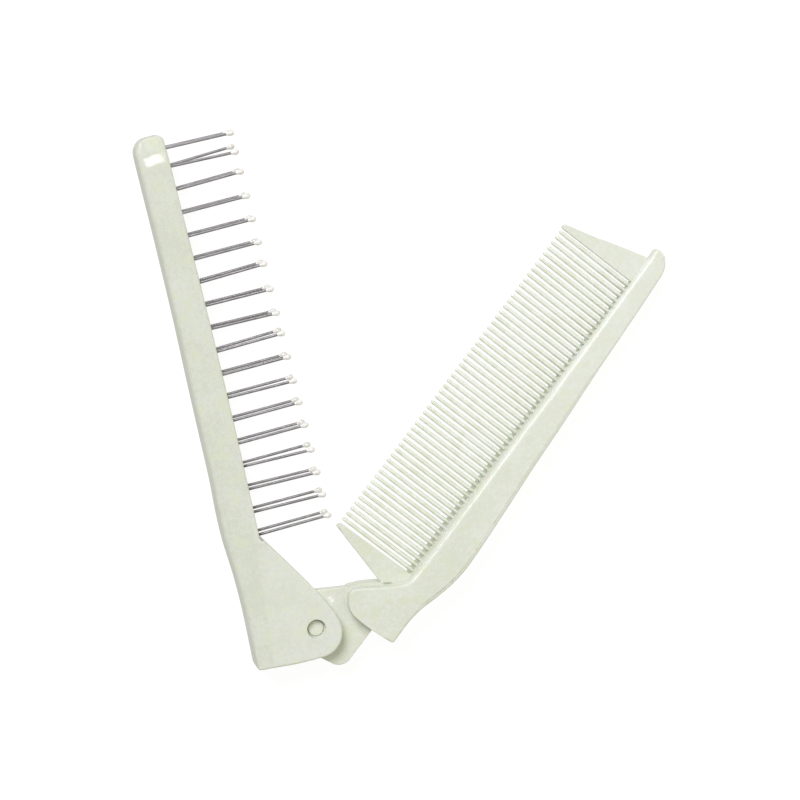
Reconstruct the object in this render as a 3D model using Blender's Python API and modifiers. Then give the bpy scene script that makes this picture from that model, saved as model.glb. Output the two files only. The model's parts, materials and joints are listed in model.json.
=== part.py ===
"""Folding comb brush, modelled at its real size in metres, lying on its side with +Z up.

The brush handle runs along +Y and its pins point along +X. The comb turns about a hinge at the
lower end of the handle, on an axis parallel to Z, and is shown part open. Inside the handle a slot
lies on the middle plane, and it takes the comb's teeth when the two halves are folded together.
"""
import math

import bmesh
import bpy
import numpy as np
from mathutils import Matrix

# Overall sizes.
THICKNESS = 0.0130
HALF = THICKNESS / 2
PIVOT = (-0.05548, -0.07006, HALF)
REST_ANGLE = math.radians(51.9)
FIT = 0.0003

# Brush handle, measured from the pivot: x is positive towards the pins, y runs along the handle.
HANDLE_TOP = 0.1536
HANDLE_BACK = (
    # y along the handle, x of the back edge
    (-0.0055, -0.0200),
    (0.0030, -0.0195),
    (0.0125, -0.0191),
    (0.0220, -0.0192),
    (0.0320, -0.0197),
    (0.0410, -0.0195),
    (0.0500, -0.0189),
    (0.0600, -0.0186),
    (0.0800, -0.0180),
    (0.1000, -0.0173),
    (0.1200, -0.0169),
    (0.1491, -0.0166),
)
HANDLE_FRONT = (
    # y along the handle, x of the edge that the pins stand on
    (0.0312, -0.00965),
    (0.0510, -0.00895),
    (0.0780, -0.00825),
    (0.1060, -0.00785),
    (0.1340, -0.00765),
    (0.1518, -0.00755),
)
TOP_BACK_RADIUS = 0.0045
TOP_FRONT_RADIUS = 0.0018
HEEL_RADIUS = 0.0015
HEEL_CENTRE = (-0.0185, -0.00595)
HEEL_END_ANGLE = math.radians(263)
EAR = (
    # x and y from the handle's lower edge, round the ear and up its slanted edge to the pins
    (-0.0170, -0.00765),
    (-0.0130, -0.00815),
    (-0.0090, -0.00858),
    (-0.0050, -0.00878),
    (-0.0015, -0.00885),
    (0.00130, -0.00875),
    (0.00316, -0.00818),
    (0.00481, -0.00714),
    (0.00613, -0.00571),
    (0.00703, -0.00398),
    (0.00745, -0.00207),
    (0.00745, -0.00030),
    (0.00715, 0.00125),
    (0.00652, 0.00330),
    (0.00556, 0.00550),
    (0.00418, 0.00840),
    (0.00272, 0.01135),
    (-0.00044, 0.01680),
    (-0.00350, 0.02190),
)
EAR_TIP = (-0.00845, 0.0299)
EAR_NOTCH = (-0.00935, 0.0300)
HANDLE_ROUNDING = 0.0012
ROLL_OFF_START = 0.1430
ROLL_OFF_DROP = 0.0016

# Slot through the handle and between its two ears.
SLOT_WIDTH = 0.0048
SLOT_TOP = 0.1450
SLOT_FLOOR_LOW = -0.0154
SLOT_FLOOR_HIGH = -0.0138
SLOT_MOUTH_X = 0.0200
SLOT_MOUTH_Y = -0.0200

# Pins: two rows, one in each side of the slot.
PIN_ROWS = 18
PIN_PITCH = 0.0070
PIN_FIRST_Y = 0.0319
PIN_LAST_PITCH = 0.0055
PIN_ROW_SPACING = 0.0072
PIN_TIP_X = 0.0131
PIN_DEPTH = 0.0036
WIRE_RADIUS = 0.00043
BALL_RADIUS = 0.00085
BALL_LENGTH = 0.0025
PIN_SIDES = 8
BENT_PINS = (
    # row counted from the hinge, side of the slot, lean in degrees towards the handle's top end
    (2, "upper", -1.6),
    (2, "lower", -0.6),
    (3, "upper", -1.8),
    (3, "lower", -1.8),
    (4, "upper", -1.8),
    (7, "upper", -1.0),
    (9, "upper", 0.6),
    (9, "lower", 1.4),
    (10, "upper", -1.6),
    (10, "lower", -1.6),
    (11, "upper", -0.8),
    (11, "lower", -0.8),
    (12, "upper", 1.2),
    (12, "lower", 1.2),
    (16, "upper", 1.0),
    (16, "lower", 1.0),
    (17, "upper", -2.0),
    (17, "lower", 2.0),
    (18, "upper", -1.4),
    (18, "lower", -1.4),
)

# Comb, measured from the pivot while folded shut: x is positive towards its back, y runs along it.
COMB_TOP = 0.1531
COMB_WALL_LOW = 0.0141
COMB_WALL_HIGH = 0.01435
COMB_INNER = (
    # x and y of the knuckle's inner edge, from its rounded corner up to the wall behind the teeth
    (0.00155, 0.0151),
    (0.00188, 0.0161),
    (0.0027, 0.0170),
    (0.0084, 0.0216),
    (0.0119, 0.0248),
    (0.0136, 0.0267),
)
COMB_BACK = (
    # y along the comb, x of the back edge
    (0.0125, 0.0215),
    (0.0180, 0.0215),
    (0.0230, 0.0221),
    (0.0290, 0.0238),
    (0.0350, 0.0252),
    (0.0410, 0.0258),
    (0.0470, 0.02565),
    (0.0600, 0.02495),
    (0.0770, 0.02385),
    (0.0950, 0.0230),
    (0.1130, 0.0220),
    (0.1310, 0.0213),
    (0.1460, 0.0206),
)
COMB_TIP = (
    # x and y round the comb's far end
    (0.02045, 0.1474),
    (0.02020, 0.1489),
    (0.01965, 0.1503),
    (0.01885, 0.1515),
    (0.01775, 0.1525),
    (0.01640, 0.15305),
)
KNUCKLE_CORNER = (0.0204, 0.0111)
KNUCKLE_CORNER_RADIUS = 0.0011
SHOULDER = (
    # x across the knuckle, y of its shoulder beside the ears
    (0.01980, 0.00992),
    (0.01330, 0.00956),
    (0.00900, 0.00958),
    (0.00730, 0.00970),
    (0.00585, 0.01003),
    (0.00465, 0.01058),
    (0.00360, 0.01135),
    (0.00280, 0.01228),
    (0.00215, 0.01320),
    (0.00165, 0.01415),
)
STEP_OUTLINE = (
    # x and y of the knuckle's lower half, which stands out on its inner side
    (0.0050, 0.0150),
    (0.0026, 0.0160),
    (0.0026, 0.0169),
    (0.0033, 0.0180),
    (0.0045, 0.01928),
    (0.0082, 0.02238),
    (0.0110, 0.02480),
    (0.0125, 0.0230),
)
STEP_HEIGHT = 0.0011
COMB_ROUNDING = 0.0009
THIN_START = 0.0460
THIN_SCALE = 0.0400
THIN_DROP = 0.00105
THIN_POWER = 1.4
STATION_STEP = 0.0090

# Teeth and the two guards beside them.
TOOTH_COUNT = 55
TOOTH_PITCH = 0.0019982
FIRST_GAP = 0.03008
TOOTH_ROOT_X = 0.0160
TOOTH_ROOT_WIDTH = 0.00138
TOOTH_TIP_WIDTH = 0.00118
TOOTH_ROOT_THICKNESS = 0.0040
TOOTH_TIP_THICKNESS = 0.0018
TOOTH_POINT_LENGTH = 0.0006
TOOTH_POINT_SHARE = 0.60
TIP_LINE_LOW = -0.01275
TIP_LINE_HIGH = -0.0126
GUARD_THICKNESS = 0.0022
GUARD_SLANT = 0.0002

# Tongue between the ears, with the round bosses that turn in them.
TONGUE_THICKNESS = SLOT_WIDTH - 2 * FIT
TONGUE_CORNER = (0.0105, -0.0015)
TONGUE_CORNER_RADIUS = 0.0043
TONGUE_END_RADIUS = 0.0080
TONGUE_FLANK = (0.0078, -0.0063)
TONGUE_TOP = (
    # x and y of the tongue's edge towards the pins
    (0.0040, 0.0185),
    (0.0027, 0.0172),
    (-0.0061, 0.0092),
    (-0.0071, 0.0075),
)
BOSS_RADIUS = 0.0026
BOSS_RECESS = 0.0010
BOSS_SIDES = 28

PLASTIC = (0.72, 0.75, 0.66)
STEEL = (0.42, 0.41, 0.41)


def clear_scene():
    """Remove whatever the file holds, with its meshes, curves and materials."""
    for item in list(bpy.data.objects):
        bpy.data.objects.remove(item, do_unlink=True)
    for group in (bpy.data.meshes, bpy.data.curves, bpy.data.materials):
        for block in list(group):
            group.remove(block)
    for collection in list(bpy.data.collections):
        bpy.data.collections.remove(collection)


def new_collection(name):
    """Make a collection under the scene's own."""
    collection = bpy.data.collections.new(name)
    bpy.context.scene.collection.children.link(collection)
    return collection


def new_material(name, colour, roughness, metallic):
    """Make a Principled material for one piece."""
    material = bpy.data.materials.new(name)
    material.use_nodes = True
    shader = material.node_tree.nodes["Principled BSDF"]
    shader.inputs["Base Color"].default_value = (*colour, 1.0)
    shader.inputs["Roughness"].default_value = roughness
    shader.inputs["Metallic"].default_value = metallic
    return material


def new_empty(name, location, parent=None, turn=0.0):
    """Make an empty that carries other pieces."""
    empty = bpy.data.objects.new(name, None)
    empty.location = location
    empty.rotation_euler = (0.0, 0.0, turn)
    empty.parent = parent
    bpy.context.scene.collection.objects.link(empty)
    return empty


def smooth_between(rows, places):
    """Read a smooth curve through the rows of a table at the given places."""
    at, value = np.array(rows).T
    slope = np.gradient(value, at)
    index = np.clip(np.searchsorted(at, places) - 1, 0, len(at) - 2)
    width = at[index + 1] - at[index]
    t = (places - at[index]) / width
    rise = value[index + 1] - value[index]
    return (value[index] + rise * t * t * (3 - 2 * t)
            + width * t * (1 - t) * (slope[index] * (1 - t) - slope[index + 1] * t))


def edge_points(rows, count):
    """Give points (x, y) along a table whose rows hold y and then x."""
    places = np.linspace(rows[0][0], rows[-1][0], count)
    return list(zip(smooth_between(rows, places), places))


def smooth_line(points, count):
    """Give a smooth line through points: x and y are each read against the distance walked."""
    steps = np.linalg.norm(np.diff(points, axis=0), axis=1)
    walked = np.concatenate([[0.0], np.cumsum(steps)])
    places = np.linspace(0.0, walked[-1], count)
    x, y = (smooth_between(list(zip(walked, values)), places) for values in np.array(points).T)
    return list(zip(x, y))


def arc(centre, radius, start, end, count):
    """Give points on a round stretch, from the start angle to the end angle in radians."""
    return [(centre[0] + radius * math.cos(angle), centre[1] + radius * math.sin(angle))
            for angle in np.linspace(start, end, count)]


def handle_outline():
    """Give the handle's outline, counter-clockwise from its heel below the hinge."""
    points = arc(HEEL_CENTRE, HEEL_RADIUS, math.pi, HEEL_END_ANGLE, 5)
    points += smooth_line(EAR, 30)
    points += [EAR_TIP, EAR_NOTCH]
    points += edge_points(HANDLE_FRONT, 15)
    front_x = HANDLE_FRONT[-1][1]
    points += arc((front_x - TOP_FRONT_RADIUS, HANDLE_TOP - TOP_FRONT_RADIUS), TOP_FRONT_RADIUS,
                  0.0, math.pi / 2, 5)[1:]
    back_x = HANDLE_BACK[-1][1]
    points += arc((back_x + TOP_BACK_RADIUS, HANDLE_TOP - TOP_BACK_RADIUS), TOP_BACK_RADIUS,
                  math.pi / 2, math.pi, 6)[:-1]
    points += edge_points(HANDLE_BACK, 18)[::-1]
    return points[:-1]


def slot_outline():
    """Give the slot's outline: open towards the pins and below the hinge."""
    return [(SLOT_FLOOR_LOW, SLOT_MOUTH_Y), (SLOT_MOUTH_X, SLOT_MOUTH_Y), (SLOT_MOUTH_X, SLOT_TOP),
            (SLOT_FLOOR_HIGH, SLOT_TOP)]


def comb_outline():
    """Give the outline of the comb's knuckle and spine, counter-clockwise from its shoulder."""
    points = list(SHOULDER[::-1])
    points += arc(KNUCKLE_CORNER, KNUCKLE_CORNER_RADIUS, -math.pi / 2, 0.0, 5)
    points += edge_points(COMB_BACK, 24)
    points += list(COMB_TIP) + [(0.0154, COMB_TOP), (COMB_WALL_HIGH + 0.0003, 0.1528),
                                (COMB_WALL_HIGH, 0.1522)]
    points += list(zip(np.linspace(COMB_WALL_HIGH, COMB_WALL_LOW, 15), np.linspace(0.1500, 0.0290, 15)))
    return points + list(COMB_INNER[::-1])


def lower_guard_outline():
    """Give the guard beside the knuckle, with its root inside the knuckle."""
    inner_y = FIRST_GAP - 0.5 * (TOOTH_PITCH - TOOTH_ROOT_WIDTH)
    return [(-0.0128, 0.02810), (-0.0123, 0.02790), (0.0088, 0.02236), (0.0125, 0.0200), (0.0180, 0.0220),
            (0.0180, inner_y), (-0.0120, inner_y - GUARD_SLANT), (-0.0127, inner_y - GUARD_SLANT - 0.0006)]


def upper_guard_outline():
    """Give the guard beside the comb's far end, with its root inside the spine."""
    inner_y = FIRST_GAP + TOOTH_COUNT * TOOTH_PITCH + 0.5 * (TOOTH_PITCH - TOOTH_ROOT_WIDTH)
    return [(-0.0128, inner_y - GUARD_SLANT + 0.0005), (-0.0120, inner_y - GUARD_SLANT), (0.0160, inner_y),
            (0.0160, 0.1496), (0.0137, 0.1491), (0.0086, 0.1477), (0.0047, 0.1466), (0.0009, 0.14545),
            (-0.0018, 0.1445), (-0.0053, 0.14355), (-0.0095, 0.14245), (-0.0124, 0.14165)]


def tongue_outline():
    """Give the flat tongue that lies between the ears, with its root inside the knuckle."""
    end = arc((0.0, 0.0), TONGUE_END_RADIUS, math.radians(150), math.radians(262), 12)
    corner = arc(TONGUE_CORNER, TONGUE_CORNER_RADIUS, math.radians(-85), 0.0, 7)
    return list(TONGUE_TOP) + end + [TONGUE_FLANK] + corner + [(0.0148, 0.0125)]


def solid_from_outline(name, outline, thickness, collection):
    """Make a closed plate on the middle plane from an outline in the XY plane."""
    curve = bpy.data.curves.new(name + "_outline", "CURVE")
    curve.dimensions = "2D"
    curve.fill_mode = "BOTH"
    curve.extrude = thickness / 2
    spline = curve.splines.new("POLY")
    spline.points.add(len(outline) - 1)
    for point, (x, y) in zip(spline.points, outline):
        point.co = (x, y, 0.0, 1.0)
    spline.use_cyclic_u = True
    drawn = bpy.data.objects.new(name + "_outline", curve)
    collection.objects.link(drawn)
    evaluated = drawn.evaluated_get(bpy.context.evaluated_depsgraph_get())
    mesh = bpy.data.meshes.new_from_object(evaluated)
    mesh.name = name
    bpy.data.objects.remove(drawn, do_unlink=True)
    bpy.data.curves.remove(curve)
    solid = bpy.data.objects.new(name, mesh)
    collection.objects.link(solid)
    work = bmesh.new()
    work.from_mesh(mesh)
    bmesh.ops.remove_doubles(work, verts=work.verts, dist=0.000001)
    bmesh.ops.dissolve_limit(work, angle_limit=math.radians(1), verts=work.verts, edges=work.edges,
                             delimit={"NORMAL"})
    bmesh.ops.recalc_face_normals(work, faces=work.faces)
    work.to_mesh(mesh)
    work.free()
    return solid


def round_rims(solid, radius, segments):
    """Round the edges all along the two flat faces of a plate."""
    work = bmesh.new()
    work.from_mesh(solid.data)
    rims = [edge for edge in work.edges
            if abs(edge.verts[0].co.z - edge.verts[1].co.z) < FIT and edge.calc_face_angle() > 1.0]
    bmesh.ops.bevel(work, geom=rims, offset=radius, segments=segments, profile=0.5, affect="EDGES",
                    clamp_overlap=True)
    work.to_mesh(solid.data)
    work.free()


def shape_thickness(solid, stations, factor):
    """Cut a plate across at the stations, then scale its thickness by a function of y."""
    work = bmesh.new()
    work.from_mesh(solid.data)
    for y in stations:
        geometry = work.verts[:] + work.edges[:] + work.faces[:]
        bmesh.ops.bisect_plane(work, geom=geometry, dist=0.000002, plane_co=(0.0, y, 0.0),
                               plane_no=(0.0, 1.0, 0.0))
    for vertex in work.verts:
        vertex.co.z *= factor(vertex.co.y)
    bmesh.ops.recalc_face_normals(work, faces=work.faces)
    work.to_mesh(solid.data)
    work.free()


def handle_factor(y):
    """Give the handle's thickness at y, as a share of the full thickness."""
    reach = max(0.0, (y - ROLL_OFF_START) / (HANDLE_TOP - ROLL_OFF_START))
    return 1.0 - ROLL_OFF_DROP / HALF * reach * reach


def comb_factor(y):
    """Give the spine's thickness at y, as a share of the full thickness."""
    reach = max(0.0, (y - THIN_START) / THIN_SCALE)
    return 1.0 - THIN_DROP / HALF * reach ** THIN_POWER


def add_cutter(piece, cutter, operation, parent, tools):
    """Let a helper object cut, or be joined to, a piece."""
    if tools not in cutter.users_collection:
        tools.objects.link(cutter)
        for collection in list(cutter.users_collection):
            if collection != tools:
                collection.objects.unlink(cutter)
    cutter.parent = parent
    cutter.display_type = "WIRE"
    cutter.hide_render = True
    boolean = piece.modifiers.new(cutter.name, "BOOLEAN")
    boolean.operation = operation
    boolean.solver = "EXACT"
    boolean.object = cutter


def shade(piece, degrees=40.0):
    """Shade a piece smooth, with sharp edges above an angle."""
    piece.data.shade_smooth()
    piece.data.set_sharp_from_angle(angle=math.radians(degrees))


def round_bar(name, radius, sides, matrices, length, collection):
    """Make one mesh of straight round bars, each placed by a matrix, lying along its own Z."""
    work = bmesh.new()
    for matrix in matrices:
        bmesh.ops.create_cone(work, cap_ends=True, cap_tris=False, segments=sides, radius1=radius,
                              radius2=radius, depth=length, matrix=matrix)
    mesh = bpy.data.meshes.new(name)
    work.to_mesh(mesh)
    work.free()
    bars = bpy.data.objects.new(name, mesh)
    collection.objects.link(bars)
    return bars


def pin_rows():
    """List each row of pins as its number from the hinge and its y."""
    rows = [(number + 1, PIN_FIRST_Y + number * PIN_PITCH) for number in range(PIN_ROWS - 1)]
    return rows + [(PIN_ROWS, rows[-1][1] + PIN_LAST_PITCH)]


def pin_seats():
    """List every pin as its name, its root point on the handle's edge and its lean in radians."""
    leans = {(row, side): math.radians(angle) for row, side, angle in BENT_PINS}
    seats = []
    for side, sign in (("upper", 1), ("lower", -1)):
        for row, y in pin_rows():
            x = float(smooth_between(HANDLE_FRONT, np.array([y]))[0])
            name = f"pin_{side}_{row:02d}"
            seats.append((name, (x, y, sign * PIN_ROW_SPACING / 2), leans.get((row, side), 0.0)))
    return seats


def build_handle(root, parts, tools, material):
    """Build the brush handle: a U-shaped bar whose two sides end in the ears of the hinge."""
    handle = solid_from_outline("brush_handle", handle_outline(), THICKNESS, parts)
    round_rims(handle, HANDLE_ROUNDING, 3)
    shape_thickness(handle, np.linspace(ROLL_OFF_START, HANDLE_TOP - 0.0012, 6), handle_factor)
    handle.parent = root
    slot = solid_from_outline("slot_cutter", slot_outline(), SLOT_WIDTH, tools)
    add_cutter(handle, slot, "DIFFERENCE", root, tools)
    hole = round_bar("hinge_hole_cutter", BOSS_RADIUS + FIT, BOSS_SIDES, [Matrix()], 2 * THICKNESS, tools)
    add_cutter(handle, hole, "DIFFERENCE", root, tools)
    flat_radius = (WIRE_RADIUS + FIT) / math.cos(math.pi / PIN_SIDES)
    depth = PIN_DEPTH + FIT
    outside = 0.0030
    lie_down = Matrix.Rotation(math.pi / 2, 4, "Y")
    places = [Matrix.Translation((x - depth / 2 + outside / 2, y, z)) @ lie_down
              for _, (x, y, z), _ in pin_seats()]
    sockets = round_bar("socket_cutters", flat_radius, PIN_SIDES, places, depth + outside, tools)
    add_cutter(handle, sockets, "DIFFERENCE", root, tools)
    handle.data.materials.append(material)
    shade(handle)
    return handle


def pin_profile(length):
    """Give half a pin's outline as (radius, distance from its root), from its tip to its root."""
    ball = BALL_LENGTH
    return [(0.0, length), (0.46 * BALL_RADIUS, length - 0.04 * ball),
            (0.84 * BALL_RADIUS, length - 0.17 * ball), (BALL_RADIUS, length - 0.42 * ball),
            (0.86 * BALL_RADIUS, length - 0.72 * ball), (WIRE_RADIUS, length - ball),
            (WIRE_RADIUS, -PIN_DEPTH), (0.0, -PIN_DEPTH)]


def build_pin(name, seat, lean, root, parts, material):
    """Build one pin: a wire with a drop-shaped tip, turned about its own axis as one body."""
    x, y, z = seat
    mesh = bpy.data.meshes.new(name)
    points = [(radius, 0.0, height) for radius, height in pin_profile(PIN_TIP_X - x)]
    mesh.from_pydata(points, [(i, i + 1) for i in range(len(points) - 1)], [])
    pin = bpy.data.objects.new(name, mesh)
    parts.objects.link(pin)
    turn = pin.modifiers.new("turned", "SCREW")
    turn.axis = "Z"
    turn.steps = PIN_SIDES
    turn.render_steps = PIN_SIDES
    turn.use_merge_vertices = True
    turn.merge_threshold = 0.00001
    turn.use_smooth_shade = True
    pin.location = (x, y, z)
    pin.rotation_euler = (0.0, math.pi / 2, lean)
    pin.parent = root
    pin.data.materials.append(material)
    return pin


def unit_tooth():
    """Make a bar cut across once, with rows of corners at x = 1 (root), 0 (neck) and -1 (tip)."""
    work = bmesh.new()
    bmesh.ops.create_cube(work, size=2.0)
    geometry = work.verts[:] + work.edges[:] + work.faces[:]
    bmesh.ops.bisect_plane(work, geom=geometry, plane_co=(0.0, 0.0, 0.0), plane_no=(1.0, 0.0, 0.0))
    mesh = bpy.data.meshes.new("unit_tooth")
    work.to_mesh(mesh)
    work.free()
    return mesh


def build_teeth(tools):
    """Build the row of fine teeth: tapered bars with blunted points, all at one pitch."""
    unit = unit_tooth()
    work = bmesh.new()
    for number in range(TOOTH_COUNT):
        y = FIRST_GAP + (number + 0.5) * TOOTH_PITCH
        tip_x = TIP_LINE_LOW + (TIP_LINE_HIGH - TIP_LINE_LOW) * (number + 0.5) / TOOTH_COUNT
        rows = {
            # row of corners: x, width and thickness there
            1: (TOOTH_ROOT_X, TOOTH_ROOT_WIDTH, TOOTH_ROOT_THICKNESS),
            0: (tip_x + TOOTH_POINT_LENGTH, TOOTH_TIP_WIDTH, TOOTH_TIP_THICKNESS),
            -1: (tip_x, TOOTH_TIP_WIDTH * TOOTH_POINT_SHARE, TOOTH_TIP_THICKNESS * TOOTH_POINT_SHARE),
        }
        done = len(work.verts)
        work.from_mesh(unit)
        work.verts.ensure_lookup_table()
        for vertex in work.verts[done:]:
            x, width, deep = rows[round(vertex.co.x)]
            vertex.co = (x, y + vertex.co.y * width / 2, vertex.co.z * deep / 2)
    mesh = bpy.data.meshes.new("fine_teeth")
    work.to_mesh(mesh)
    work.free()
    bpy.data.meshes.remove(unit)
    teeth = bpy.data.objects.new("fine_teeth", mesh)
    tools.objects.link(teeth)
    return teeth


def build_comb(hinge, parts, tools, material):
    """Build the comb: knuckle and spine, tongue with its two bosses, guards and teeth, in one body."""
    comb = solid_from_outline("comb", comb_outline(), THICKNESS, parts)
    round_rims(comb, COMB_ROUNDING, 2)
    shape_thickness(comb, np.arange(THIN_START, COMB_TOP - 0.0020, STATION_STEP), comb_factor)
    comb.parent = hinge
    tongue = solid_from_outline("tongue", tongue_outline(), TONGUE_THICKNESS, tools)
    add_cutter(comb, tongue, "UNION", hinge, tools)
    bosses = round_bar("bosses", BOSS_RADIUS, BOSS_SIDES, [Matrix()], THICKNESS - 2 * BOSS_RECESS, tools)
    add_cutter(comb, bosses, "UNION", hinge, tools)
    lower_guard = solid_from_outline("lower_guard", lower_guard_outline(), GUARD_THICKNESS, tools)
    add_cutter(comb, lower_guard, "UNION", hinge, tools)
    upper_guard = solid_from_outline("upper_guard", upper_guard_outline(), GUARD_THICKNESS, tools)
    add_cutter(comb, upper_guard, "UNION", hinge, tools)
    step_bottom = COMB_ROUNDING - HALF
    step = solid_from_outline("knuckle_step", list(STEP_OUTLINE[::-1]), STEP_HEIGHT - step_bottom, tools)
    step.location.z = (STEP_HEIGHT + step_bottom) / 2
    add_cutter(comb, step, "UNION", hinge, tools)
    add_cutter(comb, build_teeth(tools), "UNION", hinge, tools)
    comb.data.materials.append(material)
    shade(comb)
    return comb


def main():
    """Build the handle, its pins and the comb."""
    clear_scene()
    parts = new_collection("folding_comb_brush")
    tools = new_collection("cutters")
    root = new_empty("hinge_point", PIVOT)
    hinge = new_empty("comb_hinge", (0.0, 0.0, 0.0), root, -REST_ANGLE)
    build_handle(root, parts, tools, new_material("handle_plastic", PLASTIC, 0.42, 0.0))
    build_comb(hinge, parts, tools, new_material("comb_plastic", PLASTIC, 0.42, 0.0))
    steel = new_material("pin_steel", STEEL, 0.35, 1.0)
    for name, seat, lean in pin_seats():
        build_pin(name, seat, lean, root, parts, steel)
    bpy.context.view_layer.update()


main()
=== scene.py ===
"""Dressed model of a folding comb brush: a pin brush and a fine comb that fold together like a clasp knife.

Shapes are worked out in millimetres in two flat frames whose origin lies on the hinge's axis. One is the
brush handle's: x towards the pins, y along the handle from the hinge to its far end, z across the middle
plane. The other is the comb's, which falls on the first when the two are folded shut.
"""
import json
import logging
import math
from collections.abc import Callable, Sequence
from dataclasses import dataclass
from enum import Enum

import bmesh
import bpy
import numpy as np
from mathutils import Matrix, Vector


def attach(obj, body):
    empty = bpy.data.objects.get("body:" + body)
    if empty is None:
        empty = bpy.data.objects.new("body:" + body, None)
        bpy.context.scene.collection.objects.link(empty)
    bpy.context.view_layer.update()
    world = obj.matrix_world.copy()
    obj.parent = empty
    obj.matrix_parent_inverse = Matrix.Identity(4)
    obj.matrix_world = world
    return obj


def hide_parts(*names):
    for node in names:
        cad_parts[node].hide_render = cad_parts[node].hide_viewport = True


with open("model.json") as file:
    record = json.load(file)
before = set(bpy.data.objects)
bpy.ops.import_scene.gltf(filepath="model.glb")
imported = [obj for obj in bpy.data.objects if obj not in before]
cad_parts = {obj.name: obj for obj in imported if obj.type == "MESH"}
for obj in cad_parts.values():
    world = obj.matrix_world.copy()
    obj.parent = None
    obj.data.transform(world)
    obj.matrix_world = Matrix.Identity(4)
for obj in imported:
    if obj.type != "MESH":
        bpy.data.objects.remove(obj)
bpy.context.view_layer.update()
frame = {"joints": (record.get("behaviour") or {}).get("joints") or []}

MM = 0.001
WELD = 0.000002
NEAR = 0.02
LOG = logging.getLogger("folding_comb_brush")

Points = np.ndarray
Pair = tuple[float, float]
Rows = Sequence[Pair]
Place = Colour = tuple[float, float, float]
Piece = bpy.types.Object
Finish = bpy.types.Material


class Body(Enum):
    """The two halves that turn on each other."""

    HANDLE = "handle"
    COMB = "comb"


class Side(Enum):
    """The side of the slot that a pin stands on, with the sign of its height over the middle plane."""

    UPPER = 1
    LOWER = -1


# Lines and outlines.

def smooth_reading(rows: Rows, places: Points) -> Points:
    """Read a smooth curve through the rows of a table.

    Between two rows the value follows the cubic that meets both, with the slopes that the table has there.

    Args:
        rows: pairs of place and value, with rising places.
        places: where to read it.

    Returns:
        The values at the places.
    """
    at, value = np.array(rows).T
    slope = np.gradient(value, at)
    index = np.clip(np.searchsorted(at, places) - 1, 0, len(at) - 2)
    width = at[index + 1] - at[index]
    t = (places - at[index]) / width
    rise = value[index + 1] - value[index]
    return (value[index] + rise * t * t * (3 - 2 * t)
            + width * t * (1 - t) * (slope[index] * (1 - t) - slope[index + 1] * t))


def smooth_step(value: Points, start: float, end: float) -> Points:
    """Rise from 0 at start to 1 at end along 3t^2 - 2t^3."""
    t = np.clip((value - start) / (end - start), 0.0, 1.0)
    return t * t * (3 - 2 * t)


def edge_line(rows: Rows, count: int) -> Points:
    """Give a number of points (x, y) on the smooth curve through a table whose rows hold y and then x."""
    places = np.linspace(rows[0][0], rows[-1][0], count)
    return np.stack([smooth_reading(rows, places), places], axis=1)


def walked(points: Points) -> Points:
    """Give the distance walked along a line to each of its points."""
    return np.concatenate([[0.0], np.cumsum(np.linalg.norm(np.diff(points, axis=0), axis=1))])


def smooth_line(points: Rows, count: int) -> Points:
    """Give a smooth line through points, with x and y each read against the distance walked.

    Args:
        points: pairs of x and y.
        count: how many points to give.

    Returns:
        An array of points.
    """
    given = np.array(points)
    way = walked(given)
    places = np.linspace(0.0, way[-1], count)
    return np.stack([smooth_reading(list(zip(way, values)), places) for values in given.T], axis=1)


def arc(centre: Pair, radius: float, start: float, end: float, count: int) -> Points:
    """Give points on a circle: the centre plus the radius times the cosine and sine of angles in degrees."""
    angle = np.radians(np.linspace(start, end, count))
    return np.stack([centre[0] + radius * np.cos(angle), centre[1] + radius * np.sin(angle)], axis=1)


def line(*parts: Sequence | Points) -> Points:
    """Join points and stretches of points into one line, leaving out a point that is NEAR the one before it.

    Args:
        parts: points (x, y) and arrays of them.

    Returns:
        One array of points.
    """
    points = np.concatenate([np.atleast_2d(np.array(part, float)) for part in parts])
    step = np.linalg.norm(np.diff(points, axis=0), axis=1)
    return points[np.concatenate([[True], step > NEAR])]


def matched(first: Points, second: Points, finest: float = 0.0008) -> tuple[Points, Points, Points]:
    """Give two lines the same stations, each read at the shares of length at which either has a point.

    Args:
        first: one line.
        second: the other line.
        finest: the smallest share between two stations.

    Returns:
        The shares, and both lines read there.
    """
    own = [walked(points) / walked(points)[-1] for points in (first, second)]
    shares = np.unique(np.concatenate(own))
    keep = np.concatenate([[True], np.diff(shares) > finest])
    keep[-1] = True
    keep[-2] = keep[-2] and shares[-1] - shares[-2] > finest
    shares = shares[keep]
    read = [np.stack([np.interp(shares, at, points[:, k]) for k in (0, 1)], axis=1)
            for at, points in zip(own, (first, second))]
    return shares, read[0], read[1]


def rim_room(loop: Points, share: float = 0.85, spread: float = 0.6, least_bend: float = 0.001) -> Points:
    """Work out how far each point of a loop can be set in before the loop's outward corners fold over.

    An edge shrinks to nothing at its length over the sum of the tangents of half the turns at its two ends.
    A point has a share of the least of its two edges' room, or that of another point plus part of the way.

    Args:
        loop: points (x, y), counter-clockwise.
        share: the share of an edge's room that is given.
        spread: how much the room grows for each millimetre of way.
        least_bend: what the sum of the tangents is taken as on a straight or inward stretch.

    Returns:
        The room at each point.
    """
    edge = np.roll(loop, -1, axis=0) - loop
    length = np.linalg.norm(edge, axis=1)
    heading = np.arctan2(edge[:, 1], edge[:, 0])
    turn = (heading - np.roll(heading, 1) + math.pi) % math.tau - math.pi
    bend = np.tan(turn / 2)
    room = length / np.maximum(bend + np.roll(bend, -1), least_bend)
    own = share * np.minimum(room, np.roll(room, 1))
    way = np.linalg.norm(loop[:, None] - loop[None], axis=2)
    return np.min(own[None] + spread * way, axis=1)


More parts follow.
